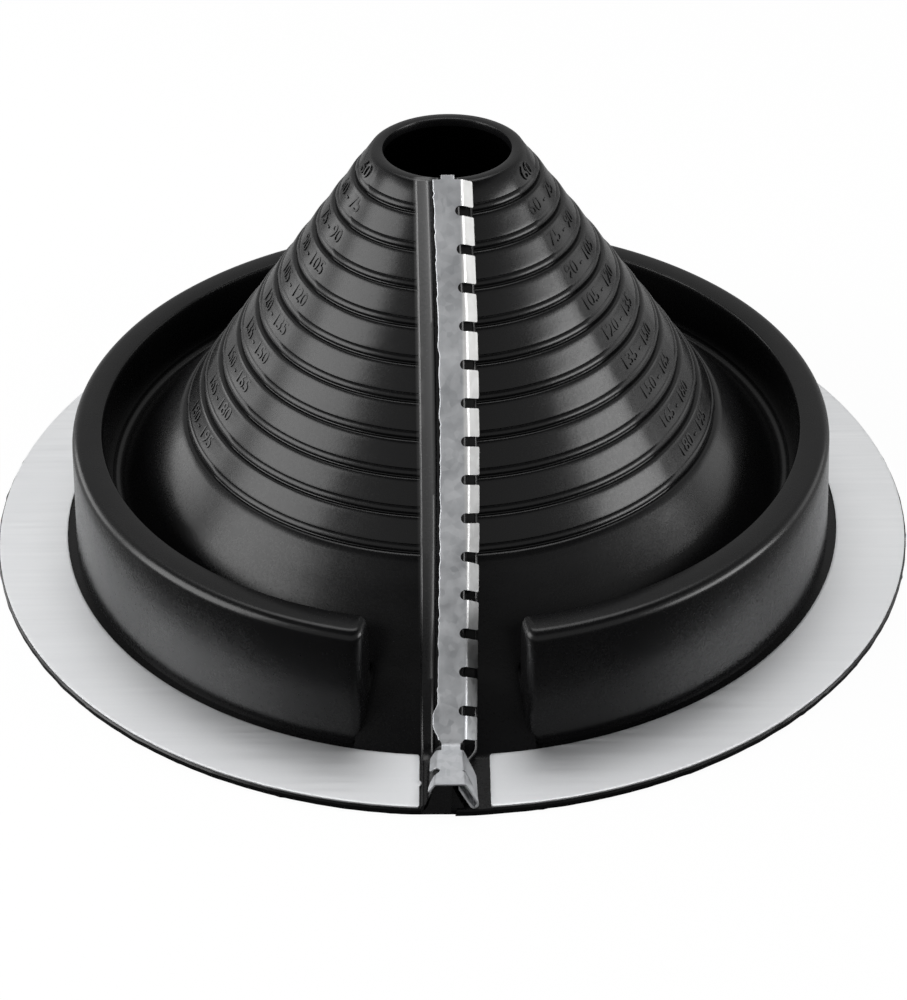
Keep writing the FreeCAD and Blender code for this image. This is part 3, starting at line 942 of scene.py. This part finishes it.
def numbers_piece():
    """Pipe sizes on the steps, worked out from the bore at each step."""
    meshes = []
    for azimuth, _ in LABEL_ZONES:
        for k in range(STEP_COUNT):
            groove = GROOVES[k]
            middle = groove - 7.3 if k else groove - 5.6
            inner = cone_point(groove)[0] - RUBBER_WALL / sind(CONE_SLOPE)
            size = 5 * round(2 * inner / 5)
            words = str(size) if k == 0 else "%d - %d" % (size - 15, size)
            mesh = number_mesh(words, 7.6)
            for point in mesh.vertices:
                along, up, out = point.co
                run = middle - up
                level = cone_point(run)[0]
                place = cone_point(run, 0.12 + 0.28 * (out + 0.5))
                turn = azimuth + math.degrees(along / level)
                point.co = around(place[0], turn, place[1]) * MM
            meshes.append(mesh)
    numbers = joined("size_numbers", meshes)
    return new_object("size_numbers", shaded(numbers, 40.0))


# Aluminium ring ---------------------------------------------------------------

def ring_piece():
    """Flat ring with its sheared ends, a burr on the left one and softened edges."""
    columns = RING_COLUMNS
    rows = RING_ROWS
    points = []
    for i in range(columns + 1):
        for j in range(rows + 1):
            radius = blend(RING_INNER_RADIUS, RING_OUTER_RADIUS, j / rows)
            end = math.degrees(math.asin(RING_GAP / 2 / radius))
            share = i / columns
            azimuth = blend(end, 360.0 - end, share)
            place = around(radius, azimuth, 0.0)
            place.z = FLANGE_THICKNESS + RING_LIFT
            if i in (0, columns):
                side = 1.0 if i == 0 else -1.0
                place.x += 0.10 * noise.noise(Vector((radius * 0.5, side * 5.0, 0.0)))
                if j in (0, rows):
                    place.x += side * 0.45
                if i == columns:
                    burr = 1.0 - abs(radius - (RING_INNER_RADIUS + 14.2)) / 1.3
                    place.x += 1.1 * max(0.0, burr)
            if j in (0, rows) and i not in (0, columns):
                edge = 0.06 * noise.noise(Vector((azimuth * 0.8, j * 2.0, 1.0)))
                place.x += edge * sind(azimuth)
                place.y -= edge * cosd(azimuth)
            points.append(place)
    faces = grid_faces(columns + 1, rows + 1)
    flat = closed_flat(mesh_from("ring", points, faces))
    thickness = RING_TOP - FLANGE_THICKNESS - RING_LIFT
    mesh = with_modifiers(flat, [
        ("SOLIDIFY", {"thickness": thickness * MM, "offset": 1.0}),
        ("BEVEL", {"width": RING_EDGE_ROUND * MM, "segments": 2, "limit_method": "ANGLE"})])
    return new_object("ring_plate", shaded(mesh, 35.0))


# Closure strip ----------------------------------------------------------------

LEG_LENGTH = math.hypot(LEG_DROP, FREE_LEG_SPREAD)
FREE_LEG_TURN = math.degrees(math.atan2(LEG_DROP, FREE_LEG_SPREAD))
STRIP_LEFT = -CROWN_HALF_WIDTH - LEG_DROP
STRIP_RIGHT = CROWN_HALF_WIDTH + LEG_LENGTH


def folded(distance, bends):
    """(across, drop) at a distance over a sheet folded by (start, radius, angle) bends."""
    across, drop, heading, walked = 0.0, 0.0, 0.0, 0.0
    for start, radius, angle in bends:
        straight = min(distance, start) - walked
        across += straight * cosd(heading)
        drop += straight * sind(heading)
        walked += straight
        if distance <= start:
            return across, drop
        length = min(distance - start, radius * math.radians(abs(angle)))
        turn = math.degrees(length / radius) * math.copysign(1.0, angle)
        sign = math.copysign(1.0, angle)
        across += sign * radius * (sind(heading + turn) - sind(heading))
        drop -= sign * radius * (cosd(heading + turn) - cosd(heading))
        heading += turn
        walked += length
    rest = distance - walked
    return across + rest * cosd(heading), drop + rest * sind(heading)


def bend_start(half, radius, angle):
    return half - radius * math.tan(math.radians(angle / 2))


def slot_half_width(s):
    """Half of the slot's opening at a distance across the flat strip."""
    radius = SLOT_WIDTH / 2
    tip = CROWN_HALF_WIDTH - SLOT_REACH
    centre = tip + radius
    opening = 0.0
    if s > tip:
        opening = radius
        if s < centre:
            opening = math.sqrt(max(0.0, radius * radius - (centre - s) ** 2))
    corner = STRIP_RIGHT - TOOTH_CORNER
    if s > corner:
        opening += TOOTH_CORNER - math.sqrt(max(0.0, TOOTH_CORNER ** 2 - (s - corner) ** 2))
    return opening


def strip_columns():
    """Distances across the flat strip where its mesh has a line of points."""
    radius = SLOT_WIDTH / 2
    tip = CROWN_HALF_WIDTH - SLOT_REACH
    columns = [STRIP_LEFT, STRIP_LEFT + 3.0, -6.6, -5.4, -4.76, -4.73, -4.70, -4.66, -4.4, -3.8,
               -2.4, -1.0, 0.6, 1.6, tip]
    columns += [tip + radius * (1.0 - cosd(15.0 * k)) for k in range(1, 7)]
    columns += [4.3, 4.6, 4.9, 5.15, 5.4, 6.0, 7.5, 9.5, STRIP_RIGHT - TOOTH_CORNER]
    columns += [STRIP_RIGHT - TOOTH_CORNER * (1.0 - sind(22.5 * k)) for k in range(1, 5)]
    return columns


def tooth_sheet(name, length, slot_above, slot_below):
    """Flat module of the strip between two slots, or between a slot and an end."""
    rows = max(4, int(length / 1.1))
    columns = strip_columns()
    points = []
    for i in range(rows + 1):
        for s in columns:
            opening = slot_half_width(s)
            end_round = opening - SLOT_WIDTH / 2 if s > STRIP_RIGHT - TOOTH_CORNER else 0.0
            first = opening if slot_above else end_round
            last = length - (opening if slot_below else end_round)
            points.append((s, blend(first, last, i / rows), 0.0))
    return mesh_from(name, points, grid_faces(rows + 1, len(columns)))


def moved(mesh, distance):
    for point in mesh.vertices:
        point.co.y += distance * MM
    return mesh


def crown_length_at(radius):
    """Crown length at which the seam's path reaches a radius."""
    for i in range(len(SEAM) - 1):
        if SEAM[i + 1][0] >= radius:
            share = (radius - SEAM[i][0]) / (SEAM[i + 1][0] - SEAM[i][0])
            return blend(CROWN_LENGTHS[i], CROWN_LENGTHS[i + 1], share)


FOOT_BEND = SEAM_FOOT_ROUND * math.tan(math.radians(SKIRT_SLOPE / 2))
GRIP_END = crown_length_at(SKIRT_FOOT_RADIUS - FOOT_BEND * cosd(SKIRT_SLOPE)) - 0.3


def left_swell(length):
    """How far the crimped left edge stands out at a distance along the strip."""
    crimp = 0.10 * math.sin(2.0 * math.pi * length / SLOT_PITCH + 0.7)
    uneven = 0.45 * noise.noise(Vector((length * 0.22, 2.0, 0.0)))
    nick = 0.35 * noise.noise(Vector((length * 0.75, 8.0, 0.0)))
    near = GRIP_END - length
    bulge = 1.5 * smoothstep(12.5, 8.5, near) * smoothstep(-0.5, 5.5, near)
    wavy = max(-0.45, crimp + uneven + nick) * smoothstep(8.0, 12.0, near)
    return wavy + bulge - 0.5 * smoothstep(4.0, 0.0, near)


def strip_point(s, length):
    """Place a point of the flat strip on its folded and bent form."""
    station = station_at(length)
    top = CROWN_TOP - SHEET / 2
    if s >= 0:
        start = bend_start(CROWN_HALF_WIDTH, FOLD_ROUND, FREE_LEG_TURN)
        across, drop = folded(s, [(start, FOLD_ROUND, FREE_LEG_TURN)])
        across += 0.10 * noise.noise(Vector((length * 0.12, 9.0, 0.0))) * smoothstep(2.0, 5.0, s)
    else:
        swell = left_swell(length)
        distance = -s + swell * smoothstep(2.0, 4.5, -s)
        start = bend_start(CROWN_HALF_WIDTH + swell, CRIMP_ROUND, 92.0)
        across, drop = folded(distance, [(start, CRIMP_ROUND, 92.0)])
        across = -across
    dent = 0.10 * noise.noise(Vector((s * 0.25, length * 0.2, 5.0)))
    return seam_point(across + bow(length), station, top - drop + dent)


def saddle_half(share):
    return blend(SADDLE_HALF_START, SADDLE_HALF_END, share)


def saddle_columns(half):
    """Flat distances from the saddle's middle where its mesh has a line of points."""
    left = bend_start(half, FOLD_ROUND, SADDLE_SHORT_FOLD)
    right = bend_start(half, FOLD_ROUND, SADDLE_LONG_FOLD)
    foot = right + SADDLE_LONG_LEG
    hem = foot + math.pi * HEM_ROUND
    marks = [(-half - SADDLE_SHORT_LEG, 7),
             (-left - FOLD_ROUND * math.radians(SADDLE_SHORT_FOLD), 5), (-left, 12), (right, 5),
             (right + FOLD_ROUND * math.radians(SADDLE_LONG_FOLD), 9), (foot, 12), (hem, 6),
             (hem + HEM_RETURN, 0)]
    columns = []
    for (low, count), (high, _) in zip(marks, marks[1:]):
        columns += [blend(low, high, k / count) for k in range(count)]
    return columns + [marks[-1][0]]


def saddle_extents(share):
    """Flat reach to the left and right of the saddle's middle, by its share of length."""
    half = saddle_half(share)
    notch_start, notch_end = SADDLE_NOTCH
    if share < notch_start:
        left = half + SADDLE_SHORT_LEG * smoothstep(-0.03, 0.08, share)
    else:
        ends = smoothstep(notch_end, notch_start, share) + smoothstep(0.61, 0.90, share)
        left = half - SADDLE_NOTCH_DEPTH + (SADDLE_SHORT_LEG + SADDLE_NOTCH_DEPTH) * ends
    leg = 8.8 * min(1.0, max(0.0, share + 0.01) / 0.36)
    return left, half + leg + (HEM_RETURN + 2.0) * smoothstep(0.33, 0.47, share)


def slit_shift(share, beyond):
    """How far the rows lean towards the end across the long leg, most at the slit."""
    low = SADDLE_SLIT[0]
    near = share / low if share < low else (1.0 - share) / (1.0 - low)
    return SADDLE_SLIT_SLANT * near * min(1.0, max(0.0, beyond / SADDLE_LONG_LEG))


def saddle_sheet():
    """Neck and saddle: narrow tie at the foot, then teeth folded down over the bead."""
    top = CROWN_TOP - SHEET / 2
    points = []
    neck_end = crown_length_at(SADDLE_START_RADIUS) - 0.1
    neck_rows = 14
    base = saddle_columns(SADDLE_HALF_START)
    for k in range(neck_rows + 1):
        near = k / neck_rows
        length = blend(GRIP_END - 0.3, neck_end, near)
        left = blend(*NECK_LEFT, smoothstep(0.0, 0.35, near))
        right = blend(*NECK_RIGHT, smoothstep(0.0, 0.4, near))
        for d in base:
            held = max(-SADDLE_HALF_START, min(SADDLE_HALF_START, d))
            across = (held / SADDLE_HALF_START + 1) / 2
            points.append(seam_point(blend(left, right, across) + bow(length),
                                     station_at(length), top))
    shares = [0.0, 0.03, 0.06, 0.09, 0.12, 0.17, 0.22, 0.27, 0.32, 0.37, 0.42, 0.445, 0.47, 0.495,
              0.52, 0.545, 0.57, 0.60, 0.635, 0.66, 0.69, 0.73, 0.77, 0.81, 0.85, 0.9, 0.95, 1.0]
    for row in shares:
        for d in saddle_columns(saddle_half(row)):
            share = row + slit_shift(row, d - saddle_half(row))
            radius = blend(SADDLE_START_RADIUS, FLANGE_RADIUS - 0.2, share)
            lean = SADDLE_SETBACK / CROWN_TOP * smoothstep(0.0, 1.0, share)
            half = saddle_half(row)
            left, right = saddle_extents(share)
            d = max(-left, min(right, d))
            if d >= 0:
                start = bend_start(half, FOLD_ROUND, SADDLE_LONG_FOLD)
                across, drop = folded(d, [(start, FOLD_ROUND, SADDLE_LONG_FOLD),
                                          (start + SADDLE_LONG_LEG, HEM_ROUND, 180.0)])
            else:
                start = bend_start(half, FOLD_ROUND, SADDLE_SHORT_FOLD)
                across, drop = folded(-d, [(start, FOLD_ROUND, SADDLE_SHORT_FOLD)])
                across = -across
            points.append(seam_point(across - SADDLE_SHIFT, (radius, FLANGE_THICKNESS, 0.0),
                                     top - drop, lean))
    width = len(base)
    rows = neck_rows + 1 + len(shares)
    slit_row = neck_rows + 1 + shares.index(SADDLE_SLIT[0])
    slit_column = next(j for j in range(width) if base[j] > SADDLE_HALF_START - 0.9)
    faces = grid_faces(rows, width, skip=lambda i, j: i == slit_row and j >= slit_column)
    return mesh_from("saddle", points, faces)


def strip_piece():
    """Castellated strip, its end tab, neck and saddle in one sheet."""
    module = tooth_sheet("module", SLOT_PITCH, True, True)
    teeth = baked(REPEATING, module, {"Count": SLOT_COUNT - 1, "Pitch": SLOT_PITCH * MM,
                                      "Material": ZINC})
    moved(teeth, FIRST_GROOVE)
    first = tooth_sheet("first", FIRST_GROOVE, False, True)
    last_slot = FIRST_GROOVE + SLOT_PITCH * (SLOT_COUNT - 1)
    last = moved(tooth_sheet("last", GRIP_END - last_slot, True, False), last_slot)
    grip = joined("grip", [first, teeth, last])
    for point in grip.vertices:
        point.co = strip_point(point.co.x / MM, point.co.y / MM) * MM
    tab_points = []
    for length in (-1.5, -0.8, 0.0, 0.6):
        for k in range(5):
            lift = CROWN_TOP - SHEET / 2 + 0.25 * smoothstep(0.0, -1.5, length)
            tab_points.append(seam_point(blend(-2.2, 2.3, k / 4), station_at(length), lift))
    tab = mesh_from("tab", tab_points, grid_faces(4, 5))
    sheets = []
    for sheet in (grip, saddle_sheet(), tab):
        flat = closed_flat(sheet)
        sheets.append(with_modifiers(flat, [
            ("SOLIDIFY", {"thickness": SHEET * MM, "offset": 0.0}),
            ("BEVEL", {"width": 0.08 * MM, "segments": 1, "limit_method": "ANGLE",
                       "angle_limit": math.radians(60.0)})]))
    return new_object("folded_strip", shaded(joined("folded_strip", sheets), 32.0))


# Pieces -----------------------------------------------------------------------

def dress(piece, material, slot, *nodes):
    piece.data.materials.clear()
    piece.data.materials.append(material)
    for face in piece.data.polygons:
        face.material_index = 0
    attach(piece, "root")
    if nodes:
        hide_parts(*nodes)
    return piece


dress(rubber_piece(), RUBBER, "rubber", "rubber_boot")
dress(numbers_piece(), RUBBER, "rubber")
dress(ring_piece(), ALUMINIUM, "ring_metal", "base_ring")
dress(strip_piece(), ZINC, "strip_metal", "closure_strip")


# Studio -----------------------------------------------------------------------

def floor():
    """Floor that is white to the eye and keeps a soft shadow.

    Other rays see it nearly black in front and grey behind.
    """
    reach = 4000.0
    mesh = mesh_from("floor", [(-reach, -reach, 0.0), (reach, -reach, 0.0), (reach, reach, 0.0),
                               (-reach, reach, 0.0)], [(0, 1, 2, 3)])
    material, tree, shader = new_material("white floor", Roughness=0.9)
    eye = node(tree, "ShaderNodeLightPath").outputs["Is Camera Ray"]
    behind = ranged(tree, own_place(tree)[1]["Y"], 0.0, 1.0, -0.16, 0.04)
    tone = mixed(tree, behind, grey(0.02), grey(0.42))
    tone = mixed(tree, eye, tone, grey(0.90))
    tree.links.new(tone, shader.inputs["Base Color"])
    glow = node(tree, "ShaderNodeEmission", {"Color": grey(1.0), "Strength": 1.0})
    share = product(tree, eye, 0.95)
    mix = node(tree, "ShaderNodeMixShader", {0: share, 1: shader.outputs[0], 2: glow.outputs[0]})
    tree.links.new(mix.outputs[0], tree.nodes["Material Output"].inputs["Surface"])
    mesh.materials.append(material)
    new_object("floor", mesh)


def studio_world():
    """White to the eye; other rays see grey in front and behind, and dark overhead."""
    world = bpy.data.worlds.new("studio")
    bpy.context.scene.world = world
    world.use_nodes = True
    tree = world.node_tree
    sky = tree.nodes["Background"]
    way = node(tree, "ShaderNodeTexCoord").outputs["Generated"]
    parts = node(tree, "ShaderNodeSeparateXYZ", {"Vector": way})
    front = ranged(tree, parts.outputs["Z"], 0.60, 0.04, 0.65, 0.77)
    back = ranged(tree, parts.outputs["Y"], 0.0, 1.0, 0.1, 0.5)
    level = node(tree, "ShaderNodeMix", {0: back, 2: front, 3: 0.50}).outputs[0]
    eye = node(tree, "ShaderNodeLightPath").outputs["Is Camera Ray"]
    strength = node(tree, "ShaderNodeMix", {0: eye, 2: level, 3: 1.0}).outputs[0]
    tree.links.new(strength, sky.inputs["Strength"])
    sky.inputs["Color"].default_value = grey(1.0)


def softbox(name, azimuth, width, height, watts, rise, reach=1200.0):
    """Area light at an azimuth, aimed at the boot; sizes and places in millimetres."""
    lamp = bpy.data.lights.new(name, "AREA")
    lamp.shape = "RECTANGLE"
    lamp.size = width * MM
    lamp.size_y = height * MM
    lamp.energy = watts
    piece = new_object(name, lamp)
    place = around(reach, azimuth, rise)
    piece.location = place * MM
    aim = (Vector((0.0, 0.0, 60.0)) - place).to_track_quat("-Z", "Y")
    piece.rotation_euler = aim.to_euler()


def camera():
    """Front three-quarter view from above, a little left of upright."""
    elevation = 0.6205
    distance = 922.7
    offset = 0.68
    roll = -0.0126
    lens = bpy.data.cameras.new("camera")
    lens.lens = 84.64
    lens.sensor_width = 36.0
    lens.shift_y = 0.00815
    lens.clip_end = 50.0
    piece = new_object("camera", lens)
    right = Vector((1.0, 0.0, 0.0))
    up = Vector((0.0, math.sin(elevation), math.cos(elevation)))
    ahead = Vector((0.0, math.cos(elevation), -math.sin(elevation)))
    axis_x = math.cos(roll) * right + math.sin(roll) * up
    axis_y = math.cos(roll) * up - math.sin(roll) * right
    turn = Matrix((axis_x, axis_y, -ahead)).transposed()
    place = Vector((offset, -distance * math.cos(elevation),
                    distance * math.sin(elevation))) * MM
    piece.matrix_world = Matrix.Translation(place) @ turn.to_4x4()
    bpy.context.scene.camera = piece


floor()
studio_world()
softbox("left softbox", -74.0, 940.0, 880.0, 16.0, 480.0)
softbox("left back softbox", -116.0, 640.0, 420.0, 2.6, 240.0)
softbox("right softbox", 76.0, 740.0, 440.0, 9.4, 320.0)
softbox("right back softbox", 116.0, 500.0, 420.0, 0.8, 280.0)
softbox("overhead softbox", 180.0, 1100.0, 600.0, 6.8, 1400.0, 450.0)
camera()
bpy.context.scene.view_settings.view_transform = "Standard"
